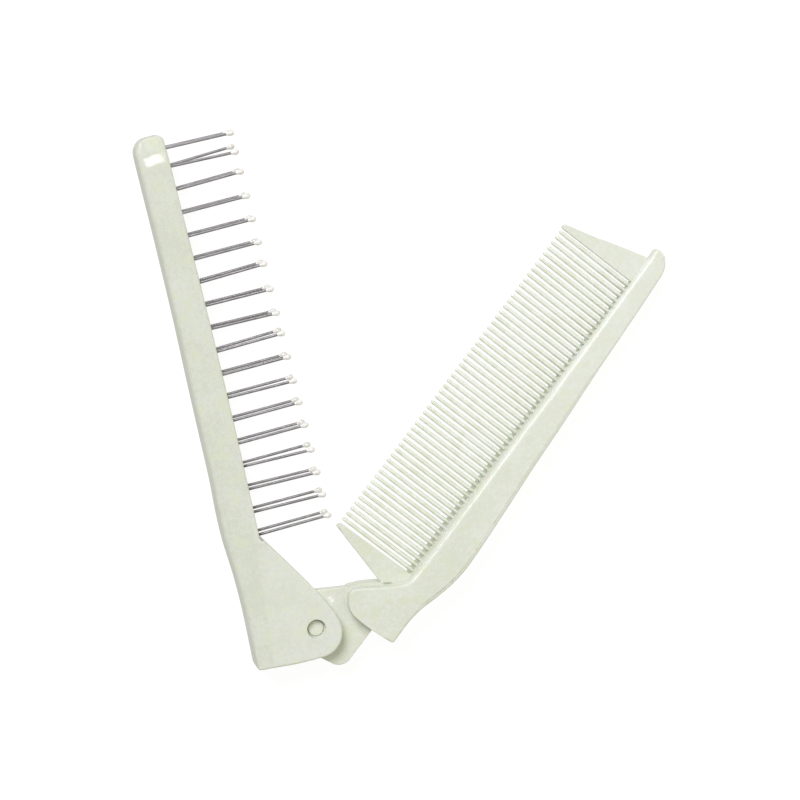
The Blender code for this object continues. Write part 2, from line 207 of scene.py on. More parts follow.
def inward_normals(loop: Points, least_square: float = 1.8) -> Points:
    """Work out, for each point of a loop, the step inwards that offsets both its edges by 1.

    The step lies along the mean of the two edges' inward normals, over the cosine of half the turn.

    Args:
        loop: points (x, y), counter-clockwise.
        least_square: the least squared length of the normals' sum, which keeps the step short at a corner.

    Returns:
        The step at each point.
    """
    edge = np.roll(loop, -1, axis=0) - loop
    edge = edge / np.linalg.norm(edge, axis=1, keepdims=True)
    normal = np.stack([-edge[:, 1], edge[:, 0]], axis=1)
    mean = normal + np.roll(normal, 1, axis=0)
    square = np.sum(mean * mean, axis=1, keepdims=True)
    return 2.0 * mean / np.maximum(square, least_square)


# Surfaces.

@dataclass(frozen=True)
class HingeFrame:
    """A flat frame on the hinge's axis, turned about it, that puts millimetres into the model's frame."""

    pivot: Place
    turn: float = 0.0

    def place(self, points: Points) -> Points:
        """Turn points about the hinge and move them to the hinge's place.

        Args:
            points: an array whose last axis holds x, y and z in millimetres.

        Returns:
            The points in the model's frame, in metres.
        """
        c, s = math.cos(self.turn), math.sin(self.turn)
        turned = points @ np.array([[c, s, 0.0], [-s, c, 0.0], [0.0, 0.0, 1.0]])
        return turned * MM + np.array(self.pivot)


def hung(name: str, data: bpy.types.ID) -> Piece:
    """Make an object of a mesh, a light or a camera and put it into the scene.

    Args:
        name: the object's name.
        data: what it shows.

    Returns:
        The object.
    """
    made = bpy.data.objects.new(name, data)
    bpy.context.scene.collection.objects.link(made)
    return made


class Skin:
    """Gathers patches of surface, each a grid of points, and makes one mesh of them."""

    def __init__(self, place: HingeFrame) -> None:
        """Start with no patch.

        Args:
            place: the frame that the patches' points are in.
        """
        self.place = place
        self.points: list[Points] = []
        self.quads: list[Points] = []
        self.count = 0

    def add(self, grid: Points, ring: bool = False) -> "Skin":
        """Add a patch, with a quad between each four neighbours of the grid.

        Args:
            grid: points in rows and columns. A leading axis holds several patches alike.
            ring: whether the last column joins the first.

        Returns:
            This skin, so that calls can follow each other.
        """
        grids = grid.reshape(-1, *grid.shape[-3:])
        index = np.arange(grids[..., 0].size).reshape(grids.shape[:3]) + self.count
        if ring:
            index = np.concatenate([index, index[:, :, :1]], axis=2)
        corners = (index[:, :-1, :-1], index[:, :-1, 1:], index[:, 1:, 1:], index[:, 1:, :-1])
        self.quads.append(np.stack(corners, axis=-1).reshape(-1, 4))
        self.points.append(grids.reshape(-1, 3))
        self.count += len(self.points[-1])
        return self

    def build(self, name: str) -> Piece:
        """Make the object: its seams and poles are closed and its faces point outwards.

        Args:
            name: the object's name.

        Returns:
            The object, smooth shaded, at the origin.
        """
        mesh = bpy.data.meshes.new(name)
        mesh.from_pydata(self.place.place(np.concatenate(self.points)), [], np.concatenate(self.quads))
        work = bmesh.new()
        work.from_mesh(mesh)
        bmesh.ops.remove_doubles(work, verts=work.verts, dist=WELD)
        bmesh.ops.dissolve_degenerate(work, edges=work.edges, dist=WELD / 2)
        bmesh.ops.recalc_face_normals(work, faces=work.faces)
        work.to_mesh(mesh)
        work.free()
        mesh.shade_smooth()
        return hung(name, mesh)


@dataclass(frozen=True)
class MouldedPlate:
    """A flat moulding on the middle plane with a rounded rim on both faces.

    Its outline runs counter-clockwise in four lines, and both faces are the blend of those lines, set in
    from the rim. half gives half the thickness at points (x, y), rim gives the radius of the rim's rounding
    there, and middle is the height of the plate's own middle plane.
    """

    lower: Points
    front: Points
    upper: Points
    back: Points
    half: Callable[[Points], Points]
    rim: Callable[[Points], Points]
    steps: int = 8
    margin: float = 0.12
    middle: float = 0.0
    power: float = 2.4
    least_rim: float = 0.12
    finest_across: float = 0.004

    def patches(self) -> list[tuple[Points, bool]]:
        """Work out the moulding's surface.

        Each face is a Coons patch: the blend across of two facing lines, plus the blend across of the other
        two, less the blend of the four corners. The rim follows a quarter superellipse from the face to the
        side wall: its reach across and its drop are the sine and cosine of an angle, raised to 2 over the
        power.

        Returns:
            Grids of points, each with whether its columns close into a ring.
        """
        across, lower, upper = matched(self.lower, self.upper[::-1], self.finest_across)
        along, front, back = matched(self.front, self.back[::-1])
        loop = np.concatenate([lower[:-1], front[:-1], upper[::-1][:-1], back[::-1][:-1]])
        step = inward_normals(loop)
        room = np.maximum(self.least_rim, rim_room(loop) - self.margin)
        radius = np.clip(self.rim(loop), self.least_rim, room)[:, None]
        bend = np.linspace(0.0, math.pi / 2, self.steps + 1)[:, None, None]
        across_rim, down_rim = (np.maximum(0.0, wave(bend)) ** (2 / self.power) for wave in (np.sin, np.cos))
        inset = radius * (1 - across_rim)
        crest = self.half(loop + step * radius)[:, None]
        face_edge = loop + step * (radius + self.margin)
        rows = np.concatenate([
            np.concatenate([face_edge, self.half(face_edge)[:, None]], axis=1)[None],
            np.concatenate([loop + step * inset, crest - radius * (1 - down_rim)], axis=2)])
        mirror = np.array([1.0, 1.0, -1.0])
        lift = np.array([0.0, 0.0, self.middle])
        band = np.concatenate([rows, rows[::-1] * mirror])
        face = self.face(face_edge, across, along)
        return [(band + lift, True), (face + lift, False), (face * mirror + lift, False)]

    def face(self, edge: Points, across: Points, along: Points) -> Points:
        """Blend the four stretches of the face's edge into one grid, with rows along and columns across.

        Args:
            edge: the face's edge as a loop, starting at the lower back corner.
            across: the stations from back to front, from 0 to 1.
            along: the stations from the lower to the upper end, from 0 to 1.

        Returns:
            The face's points, at half the thickness over the middle plane.
        """
        wide, tall = len(across) - 1, len(along) - 1
        lower = edge[:wide + 1]
        front = edge[wide:wide + tall + 1]
        upper = edge[wide + tall:2 * wide + tall + 1][::-1]
        back = np.concatenate([edge[2 * wide + tall:], edge[:1]])[::-1]
        u = across[None, :, None]
        v = along[:, None, None]
        flat = ((1 - v) * lower[None] + v * upper[None] + (1 - u) * back[:, None] + u * front[:, None]
                - (1 - u) * (1 - v) * lower[0] - u * (1 - v) * front[0]
                - (1 - u) * v * back[-1] - u * v * front[-1])
        height = self.half(flat.reshape(-1, 2)).reshape(*flat.shape[:2], 1)
        return np.concatenate([flat, height], axis=2)

    def skin(self, place: HingeFrame) -> Skin:
        """Put the moulding's patches into a skin.

        Args:
            place: the frame of the moulding.

        Returns:
            The skin.
        """
        skin = Skin(place)
        for grid, ring in self.patches():
            skin.add(grid, ring)
        return skin


def turned(profile: Rows, sides: int) -> Points:
    """Turn a profile about the z axis: each point (radius, z) goes round a circle of that radius.

    Args:
        profile: pairs of radius and z, which start and end at radius 0.
        sides: points round each circle.

    Returns:
        A grid with one row for each profile point.
    """
    radius, height = np.array(profile, float).T
    angle = np.arange(sides) * math.tau / sides
    ring = np.stack([np.cos(angle), np.sin(angle), np.zeros(sides)], axis=1)
    return radius[:, None, None] * ring[None] + height[:, None, None] * np.array([0.0, 0.0, 1.0])


def shade(made: Piece, sharp: float) -> None:
    """Shade an object smooth, except across the edges that turn by more than an angle in degrees."""
    made.data.shade_smooth()
    made.data.set_sharp_from_angle(angle=math.radians(sharp))


def carve(made: Piece, cutters: Sequence[Piece], sharp: float = 35.0) -> None:
    """Cut closed shapes out of an object and remove them.

    Args:
        made: the object to cut.
        cutters: the shapes that come out of it.
        sharp: the turn in degrees above which an edge isn't shaded smooth.
    """
    for cutter in cutters:
        cut = made.modifiers.new(cutter.name, "BOOLEAN")
        cut.operation = "DIFFERENCE"
        cut.solver = "EXACT"
        cut.object = cutter
    evaluated = made.evaluated_get(bpy.context.evaluated_depsgraph_get())
    whole, made.data = made.data, bpy.data.meshes.new_from_object(evaluated)
    made.modifiers.clear()
    bpy.data.meshes.remove(whole)
    for cutter in cutters:
        bpy.data.objects.remove(cutter, do_unlink=True)
    shade(made, sharp)


# Shader maths.

def level_way(heading: float) -> Vector:
    """Give the level direction at a heading in degrees."""
    return Vector((math.cos(math.radians(heading)), math.sin(math.radians(heading)), 0.0))


class Signal:
    """A node's output that takes part in sums, so that a formula can be written as one."""

    def __init__(self, sheet: "NodeSheet", socket: bpy.types.NodeSocket) -> None:
        """Wrap a socket of a sheet."""
        self.sheet = sheet
        self.socket = socket

    def _math(self, operation: str, *values: "Signal | float") -> "Signal":
        """Make the Math node of an operation."""
        return self.sheet.make("ShaderNodeMath", {"operation": operation}, dict(enumerate(values)))

    def __add__(self, other: "Signal | float") -> "Signal":
        """Add."""
        return self._math("ADD", self, other)

    __radd__ = __add__

    def __mul__(self, other: "Signal | float") -> "Signal":
        """Multiply."""
        return self._math("MULTIPLY", self, other)

    def __sub__(self, other: "Signal | float") -> "Signal":
        """Subtract."""
        return self._math("SUBTRACT", self, other)

    def __rsub__(self, other: float) -> "Signal":
        """Subtract from a number."""
        return self._math("SUBTRACT", other, self)

    def between(self, low: float, high: float) -> "Signal":
        """Rise smoothly from 0 at low to 1 at high."""
        return self.sheet.make("ShaderNodeMapRange", {"interpolation_type": "SMOOTHSTEP"},
                               {"Value": self, "From Min": low, "From Max": high})


class NodeSheet:
    """The nodes of a material or of the world, made one call at a time."""

    def __init__(self, owner: Finish | bpy.types.World, shader: str) -> None:
        """Start from the owner's own shader.

        Args:
            owner: the material or the world.
            shader: the name of its shader node.
        """
        owner.use_nodes = True
        self.owner = owner
        self.tree = owner.node_tree
        self.shader = self.tree.nodes[shader]

    @classmethod
    def for_material(cls, name: str) -> "NodeSheet":
        """Start a material that holds only a Principled shader and its output."""
        return cls(bpy.data.materials.new(name), "Principled BSDF")

    def make(self, kind: str, settings: dict | None = None, values: dict | None = None,
             output: int | str = 0) -> Signal:
        """Make a node.

        Args:
            kind: the node's type.
            settings: its own settings, which are set first.
            values: a value or a signal for each socket, by name or number.
            output: the output wanted, by name or number.

        Returns:
            That output.
        """
        node = self.tree.nodes.new(kind)
        for key, value in (settings or {}).items():
            setattr(node, key, value)
        for key, value in (values or {}).items():
            self.feed(node.inputs[key], value)
        return Signal(self, node.outputs[output])

    def feed(self, socket: bpy.types.NodeSocket, value: "Signal | float | Sequence[float]") -> None:
        """Link a signal to a socket, or set the socket's value.

        Args:
            socket: the socket to feed.
            value: what it gets.
        """
        if isinstance(value, Signal):
            self.tree.links.new(value.socket, socket)
        else:
            socket.default_value = value

    def here(self) -> Signal:
        """Give the place on the object, in metres."""
        return self.make("ShaderNodeTexCoord", output="Object")

    def drawn_out(self, stretch: Place, angle: float = 0.0) -> Signal:
        """Give the place on the object, turned about z and then stretched.

        Args:
            stretch: what each axis is multiplied by.
            angle: the turn in degrees.

        Returns:
            The place.
        """
        turn = {"Vector": self.here(), "Rotation": (0.0, 0.0, math.radians(angle))}
        level = self.make("ShaderNodeMapping", values=turn, output="Vector")
        return self.make("ShaderNodeMapping", values={"Vector": level, "Scale": stretch}, output="Vector")

    def away(self, point: Place) -> Signal:
        """Give the distance in metres from a point of the model's frame."""
        return self.vector_value("DISTANCE", self.here(), point)

    def vector_value(self, operation: str, first: Signal, second: Sequence[float]) -> Signal:
        """Give the number that a vector operation makes of a place or a direction and a vector."""
        return self.make("ShaderNodeVectorMath", {"operation": operation}, {0: first, 1: second}, "Value")

    def towards(self, heading: float, origin: Place) -> Signal:
        """Give the distance in metres from an origin along a level heading in degrees."""
        way = level_way(heading)
        return self.vector_value("DOT_PRODUCT", self.here(), way) - way.dot(Vector(origin))

    def part(self, place: Signal, axis: str) -> Signal:
        """Give one axis of a place or a direction."""
        return self.make("ShaderNodeSeparateXYZ", values={"Vector": place}, output=axis)

    def noise(self, place: Signal, size: float, detail: float = 2.0, rough: float = 0.5) -> Signal:
        """Give soft noise from 0 to 1 with patches of a size in metres."""
        return self.make("ShaderNodeTexNoise", {"normalize": True},
                         {"Vector": place, "Scale": 1.0 / size, "Detail": detail, "Roughness": rough}, "Fac")

    def blend(self, share: Signal, first: Colour, second: "Colour | Signal") -> Signal:
        """Mix two colours by a share.

        Args:
            share: how much of the second colour is taken, from 0 to 1.
            first: one colour.
            second: the other.

        Returns:
            The mix.
        """
        factor, first_colour, second_colour, mixed = 0, 6, 7, 2
        tone = second if isinstance(second, Signal) else (*second, 1.0)
        return self.make("ShaderNodeMix", {"data_type": "RGBA"},
                         {factor: share, first_colour: (*first, 1.0), second_colour: tone}, mixed)

    def relief(self, height: Signal, depth: float) -> Signal:
        """Turn a height from 0 to 1 into a normal, with the depth in metres."""
        return self.make("ShaderNodeBump", values={"Height": height, "Distance": depth, "Strength": 1.0},
                         output="Normal")

    def dress(self, values: dict) -> Finish | bpy.types.World:
        """Feed the shader's sockets and give the material or the world."""
        for key, value in values.items():
            self.feed(self.shader.inputs[key], value)
        return self.owner


def weighed(signals: Sequence[Signal], weights: Sequence[float]) -> Signal:
    """Add signals up, each times its weight."""
    first, *rest = (signal * weight for signal, weight in zip(signals, weights))
    return sum(rest, first)


@dataclass(frozen=True)
class Flecks:
    """Patches of a tint in the plastic.

    size is their width in metres, with the detail and roughness of their noise. rise holds the two levels of
    noise between which a patch comes up, and strength how much of the tint it gives.
    """

    tint: Colour
    size: float
    detail: float
    rough: float
    rise: Pair
    strength: float

    def share(self, sheet: NodeSheet, place: Signal) -> Signal:
        """Give how much of the tint there is at a place."""
        return sheet.noise(place, self.size, self.detail, self.rough).between(*self.rise) * self.strength


@dataclass(frozen=True)
class MouldedPlastic:
    """Pale straw-filled plastic: cloudy, finely flecked, half glossy, with a faint moulded unevenness.

    A scale multiplies both tones; above 1 it makes a paler copy of the same plastic as painted light. Lifts
    make the tone paler along a level heading: each has its heading in degrees, the distances from the
    origin, in metres, at which it starts and ends, and its strength. The one along the comb is painted light
    that grows towards its tip. The pale spots, each with its place and its radius in metres, are painted
    highlights. The clouds, the mottling and the grain each have a width in metres and the detail and
    roughness of their noise. The weights are in their order.
    """

    name: str
    painted_lightness: float = 1.0
    origin: Place = (0.0, 0.0, 0.0)
    lifts: tuple = ()
    glints: tuple = ()
    tone: Colour = (0.668, 0.692, 0.570)
    pale: Colour = (0.730, 0.747, 0.668)
    # The pale tint of the lifts and the spots: painted light towards the comb's tip, painted highlights on
    # the tongue, and a paler band by the ear's crease.
    pale_tint: Colour = (0.93, 0.94, 0.90)
    clouds: Place = (0.009, 3.0, 0.55)
    mottling: Place = (0.0013, 4.0, 0.62)
    grain: Place = (0.0004, 2.0, 0.5)
    tone_weights: Place = (0.32, 0.38, 0.30)
    tone_rise: Pair = (0.425, 0.585)
    straw: Flecks = Flecks((0.702, 0.736, 0.545), 0.0045, 3.0, 0.6, (0.50, 0.64), 0.62)
    specks: Flecks = Flecks((0.500, 0.535, 0.365), 0.0006, 2.0, 0.6, (0.62, 0.74), 0.32)
    streaks: Flecks = Flecks((0.93, 0.94, 0.90), 0.0005, 2.0, 0.5, (0.62, 0.80), 0.14)
    streak_pull: Place = (1.0, 0.10, 1.0)
    streak_angle: float = 38.0
    # How the mottling frays the pale spots of painted highlight, and where their edge lies.
    glint_fray: float = 1.6
    glint_edge: Pair = (0.75, 1.1)
    roughness: float = 0.23
    rough_weights: Place = (0.0, 0.16, 0.06)
    relief_weights: Place = (0.55, 0.30, 0.15)
    relief_depth: float = 0.00006

    def build(self) -> Finish:
        """Make the material.

        The colour moves between two tones with the clouds, the mottling and the grain. Straw-coloured
        patches, dark specks, faint streaks and the paler lifts are laid over it, the comb's lift being
        painted light, and then the pale spots of painted highlight, whose edges the mottling frays. The
        roughness and the relief follow the same noises.

        Returns:
            The material.
        """
        sheet = NodeSheet.for_material(self.name)
        here = sheet.here()
        noises = [sheet.noise(here, *noise) for noise in (self.clouds, self.mottling, self.grain)]
        # A scale above 1 paints a paler copy of the same plastic, as painted light.
        tone, pale = (tuple(value * self.painted_lightness for value in colour) for colour in (self.tone, self.pale))
        colour = sheet.blend(weighed(noises, self.tone_weights).between(*self.tone_rise), tone, pale)
        drawn = sheet.drawn_out(self.streak_pull, self.streak_angle)
        layers = [(flecks.share(sheet, place), flecks.tint)
                  for flecks, place in ((self.straw, here), (self.specks, here), (self.streaks, drawn))]
        # Paler tone along a heading; on the comb it is painted light that grows towards the tip.
        layers += [(sheet.towards(heading, self.origin).between(start, end) * strength, self.pale_tint)
                   for heading, start, end, strength in self.lifts]
        for share, tint in layers:
            colour = sheet.blend(1 - share, tint, colour)
        # Pale spots of painted highlight, with edges frayed by the mottling.
        fray = noises[1] * self.glint_fray - self.glint_fray / 2
        for *middle, radius in self.glints:
            edge = sheet.away(middle) * (1 / radius) + fray
            colour = sheet.blend(edge.between(*self.glint_edge), self.pale_tint, colour)
        rough = weighed(noises, self.rough_weights) + self.roughness
        relief = sheet.relief(weighed(noises, self.relief_weights), self.relief_depth)
        return sheet.dress({"Base Color": colour, "Roughness": rough, "Normal": relief, "IOR": 1.49,
                            "Specular IOR Level": 0.25, "Subsurface Weight": 0.06, "Subsurface Scale": 0.002,
                            "Coat Weight": 0.22, "Coat Roughness": 0.035})


@dataclass(frozen=True)
class DrawnSteel:
    """Drawn steel wire: grey metal with fine lines along its length, with brown shade painted at its root.

    root is the place along x, in metres, where the wires leave the handle. A pair of distances from it gives
    where the painted shade at the root clears, and ragged how far the spots move that edge. The lines and
    the spots each have a width in metres and the detail and roughness of their noise, and the weights are in
    their order.
    """

    name: str
    root: float
    dark: Colour = (0.292, 0.280, 0.286)
    light: Colour = (0.470, 0.455, 0.462)
    # Dark brown painted as shade where the wire leaves the handle.
    tarnish: Colour = (0.130, 0.105, 0.090)
    lines: Place = (0.00022, 2.0, 0.6)
    line_pull: Place = (0.04, 1.0, 1.0)
    spots: Place = (0.0025, 3.0, 0.6)
    weights: Pair = (0.6, 0.4)
    rise: Pair = (0.3, 0.7)
    tarnished: Pair = (0.0012, 0.0040)
    ragged: float = 0.002
    roughness: float = 0.42
    line_gloss: float = 0.14
    relief_depth: float = 0.00001

    def build(self) -> Finish:
        """Make the material: noise drawn out along the wires moves its colour, roughness and relief, and
        brown shade is painted near the root.

        Returns:
            The material.
        """
        sheet = NodeSheet.for_material(self.name)
        lines = sheet.noise(sheet.drawn_out(self.line_pull), *self.lines)
        spots = sheet.noise(sheet.here(), *self.spots)
        metal = sheet.blend(weighed((lines, spots), self.weights).between(*self.rise), self.dark, self.light)
        # Painted shade: dark brown near the root, clearing along x with a ragged edge.
        start, end = (self.root + distance for distance in self.tarnished)
        clear = (sheet.part(sheet.here(), "X") + spots * self.ragged).between(start, end)
        return sheet.dress({"Base Color": sheet.blend(clear, self.tarnish, metal), "Metallic": 1.0,
                            "Roughness": self.roughness - lines * self.line_gloss,
                            "Normal": sheet.relief(lines, self.relief_depth)})


@dataclass(frozen=True)
class DippedTip:
    """Cream plastic dipped on the wire's end: glossy and softly clouded with white."""

    name: str
    cream: Colour = (0.80, 0.775, 0.70)
    white: Colour = (0.90, 0.89, 0.86)
    cloud_size: float = 0.0009
    rise: Pair = (0.35, 0.65)
    roughness: float = 0.16
    cloud_dullness: float = 0.12
    relief_depth: float = 0.00002

    def build(self) -> Finish:
        """Make the material: soft noise moves the colour from cream to white and the gloss with it.

        Returns:
            The material.
        """
        sheet = NodeSheet.for_material(self.name)
        cloud = sheet.noise(sheet.here(), self.cloud_size)
        return sheet.dress({"Base Color": sheet.blend(cloud.between(*self.rise), self.cream, self.white),
                            "Roughness": self.roughness + cloud * self.cloud_dullness,
                            "Normal": sheet.relief(cloud, self.relief_depth), "Coat Weight": 0.3,
                            "Subsurface Weight": 0.1, "Subsurface Scale": 0.001})


def dress(made: Piece, material: Finish, body: Body, node: str) -> None:
    """Give a piece its finish, its body and the solid that it stands for.

    Args:
        made: the piece.
        material: its finish.
        body: the body that it moves with.
        node: the solid that it stands for.
    """
    made.data.materials.clear()
    made.data.materials.append(material)
    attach(made, body.value)
    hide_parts(node)
    LOG.info("%s: %d faces, rides on %s", made.name, len(made.data.polygons), body.value)


# The brush handle.

@dataclass(frozen=True)
class BrushHandle:
    """The brush handle: a bar with a slot along its middle, which widens into the two ears of the hinge.

    place is its frame. Rows of an edge hold y and x. Those of the hole hold how far its wall stands out
    from the hole's radius and from the handle's face. The other tables hold points (x, y) of the outline
    in order.
    """

    place: HingeFrame
    back_rows: tuple = ((-6.9, -19.85), (3.0, -19.42), (12.5, -19.1), (22.0, -19.2), (32.0, -19.7),
                        (41.0, -19.5), (50.0, -18.9), (60.0, -18.6), (80.0, -18.0), (100.0, -17.3),
                        (120.0, -16.9), (149.1, -16.6))
    front_rows: tuple = ((31.2, -9.65), (51.0, -8.95), (78.0, -8.25), (106.0, -7.85), (134.0, -7.65),
                         (151.8, -7.55))
    top: float = 153.6
    top_back_radius: float = 4.5
    top_front_radius: float = 1.8
    ear: tuple = ((-17.0, -7.65), (-13.0, -8.15), (-9.0, -8.58), (-5.0, -8.78), (-1.5, -8.85), (1.3, -8.75),
                  (3.16, -8.18), (4.81, -7.14), (6.13, -5.71), (7.03, -3.98), (7.45, -2.07), (7.45, -0.3),
                  (7.15, 1.25), (6.52, 3.3), (5.56, 5.5), (4.18, 8.4), (2.72, 11.35), (-0.44, 16.8),
                  (-3.5, 21.9))
    ear_split: float = 4.6
    ear_tip: tuple = ((-8.15, 29.42), (-8.37, 29.76), (-8.57, 29.9), (-9.1, 30.0), (-9.4, 30.2))
    heel_centre: Pair = (-19.25, -6.9)
    heel_radius: float = 0.6
    half: float = 6.5
    slot_half: float = 2.4
    slot_top: float = 145.0
    slot_floor: Pair = (-15.4, -13.8)
    slot_reach: float = 20.0
    mouth_rounding: float = 0.35
    hole_radius: float = 2.9
    hole_rows: tuple = ((-0.05, -2.3), (-0.40, -2.1), (-0.08, -1.4), (-0.05, -0.45), (0.0, -0.05),
                        (0.1, 0.0), (0.1, 1.0))
    hole_sides: int = 64
    rim: float = 0.85
    rim_more_back: float = 0.95
    rim_more_top: float = 0.35
    back_from: tuple = ((12.0, 16.0), (-6.0, 6.0))
    top_from: Pair = (146.0, 152.0)
    roll_off_start: float = 143.0
    roll_off_drop: float = 1.6
    ear_drop: float = 0.22
    crease: tuple = ((-11.2, 25.6), (-16.3, -7.7))
    crease_width: Pair = (-0.7, 2.3)
    crease_end: Pair = (27.0, 31.0)
    # A paler tone on the pins' side of a slanted line by the ear's crease: heading in degrees, start and end
    # in metres, strength.
    ear_lift: tuple = (-5.8, -0.0148, -0.0136, 0.12)

    def half_at(self, points: Points) -> Points:
        """Give half the thickness.

        It is the full half thickness, less a slow roll-off towards the far end that grows with the square of
        the distance, and less a small step down over the ear on the pins' side of the crease.

        Args:
            points: the places (x, y).

        Returns:
            Half the thickness at each place.
        """
        x, y = points[:, 0], points[:, 1]
        reach = np.maximum(0.0, (y - self.roll_off_start) / (self.top - self.roll_off_start))
        (x1, y1), (x0, y0) = self.crease
        crease_x = x0 + (x1 - x0) * (y - y0) / (y1 - y0)
        ear = smooth_step(x - crease_x, *self.crease_width) * (1 - smooth_step(y, *self.crease_end))
        return self.half - self.roll_off_drop * reach ** 2 - self.ear_drop * ear

    def rim_at(self, points: Points) -> Points:
        """Give the rim's radius: fuller along the back edge than on the ear and beside the pins.

        Args:
            points: the places (x, y).

        Returns:
            The radius at each place.
        """
        x, y = points[:, 0], points[:, 1]
        inwards, upwards = self.back_from
        back = smooth_step(-x, *inwards) * smooth_step(y, *upwards)
        top = smooth_step(y, *self.top_from)
        return self.rim + self.rim_more_back * back + self.rim_more_top * top * (1 - back)

    def plate(self) -> MouldedPlate:
        """Lay out the handle's outline in four lines.

        Returns:
            The handle's moulding.
        """
        front_x, back_x = self.front_rows[-1][1], self.back_rows[-1][1]
        tight, full = self.top_front_radius, self.top_back_radius
        front_corner = (front_x - tight, self.top - tight), tight
        back_corner = (back_x + full, self.top - full), full
        heel = self.heel_centre, self.heel_radius
        ear = smooth_line(self.ear, 110)
        split = int(np.argmax((ear[:, 0] > self.ear_split) & (ear[:, 1] < 0)))
        slant = np.linspace(ear[-1], self.ear_tip[0], 14)
        lower = line(arc(*heel, 222.0, 263.0, 7), ear[:split + 1])
        front = line(ear[split:], slant, self.ear_tip, edge_line(self.front_rows, 44),
                     arc(*front_corner, 0.0, 45.0, 6))
        upper = line(arc(*front_corner, 45.0, 90.0, 6), arc(*back_corner, 90.0, 135.0, 8))
        back = line(arc(*back_corner, 135.0, 180.0, 8), edge_line(self.back_rows, 60)[::-1],
                    arc(*heel, 180.0, 222.0, 6))
        return MouldedPlate(lower, front, upper, back, self.half_at, self.rim_at)

    def slot_cutter(self) -> Piece:
        """Make the slot's shape: a box whose floor slopes, open towards the pins and below the hinge.

        Returns:
            The shape to cut out.
        """
        (low, high), reach, top = self.slot_floor, self.slot_reach, self.slot_top
        section = np.array([[low, -reach], [reach, -reach], [reach, top], [high, top]])
        ends = np.stack([np.concatenate([section, np.full((4, 1), z)], axis=1)
                         for z in (-self.slot_half, self.slot_half)])
        lid = np.stack([ends[:, [0, 1]], ends[:, [3, 2]]], axis=2)
        return Skin(self.place).add(ends, ring=True).add(lid).build("slot_shape")

    def mouth_cutter(self, plate: MouldedPlate) -> Piece:
        """Make the strip that rounds the slot's mouth.

        Its section is the slot with two quarter circles that flare out at the handle's edge, and it is
        carried along that edge from below the slot's floor, round the ear and up to the slot's end.

        Args:
            plate: the handle's moulding.

        Returns:
            The shape to cut out.
        """
        path = line(plate.lower[plate.lower[:, 0] > self.slot_floor[0]],
                    plate.front[plate.front[:, 1] < self.slot_top])
        ahead = np.gradient(path, axis=0)
        ahead = ahead / np.linalg.norm(ahead, axis=1, keepdims=True)
        inward = np.stack([-ahead[:, 1], ahead[:, 0]], axis=1)
        size, outside = self.mouth_rounding, 1.0
        bend = np.radians(np.linspace(0.0, 90.0, 5))
        inset = np.concatenate([size * (1 - np.sin(bend)), [-outside]])
        height = np.concatenate([self.slot_half + size * (1 - np.cos(bend)), [self.slot_half + size]])
        inset = np.concatenate([inset, inset[::-1]])
        height = np.concatenate([height, -height[::-1]])
        flat = path[:, None] + inward[:, None] * inset[None, :, None]
        grid = np.concatenate([flat, np.broadcast_to(height[None, :, None], (*flat.shape[:2], 1))], axis=2)
        half = len(inset) // 2
        caps = np.stack([np.stack([grid[k, :half], grid[k, :half - 1:-1]]) for k in (0, -1)])
        return Skin(self.place).add(grid, ring=True).add(caps).build("mouth_shape")

    def hole_cutter(self) -> Piece:
        """Make the shape of the hinge's holes, each a little narrower below the handle's face.

        Returns:
            The shape to cut out.
        """
        face = float(self.half_at(np.zeros((1, 2)))[0])
        upper = [(self.hole_radius + out, face + up) for out, up in self.hole_rows]
        upper.append((0.0, upper[-1][1]))
        profile = [(radius, -height) for radius, height in upper[::-1]] + upper
        return Skin(self.place).add(turned(profile, self.hole_sides), ring=True).build("hole_shape")

    def build(self, plastic: Finish) -> None:
        """Make the handle, cut its slot and holes, and dress it.

        Args:
            plastic: its finish.
        """
        plate = self.plate()
        handle = plate.skin(self.place).build("brush_handle_moulding")
        carve(handle, [self.slot_cutter(), self.mouth_cutter(plate), self.hole_cutter()])
        dress(handle, plastic, Body.HANDLE, "brush_handle")


# The pins.

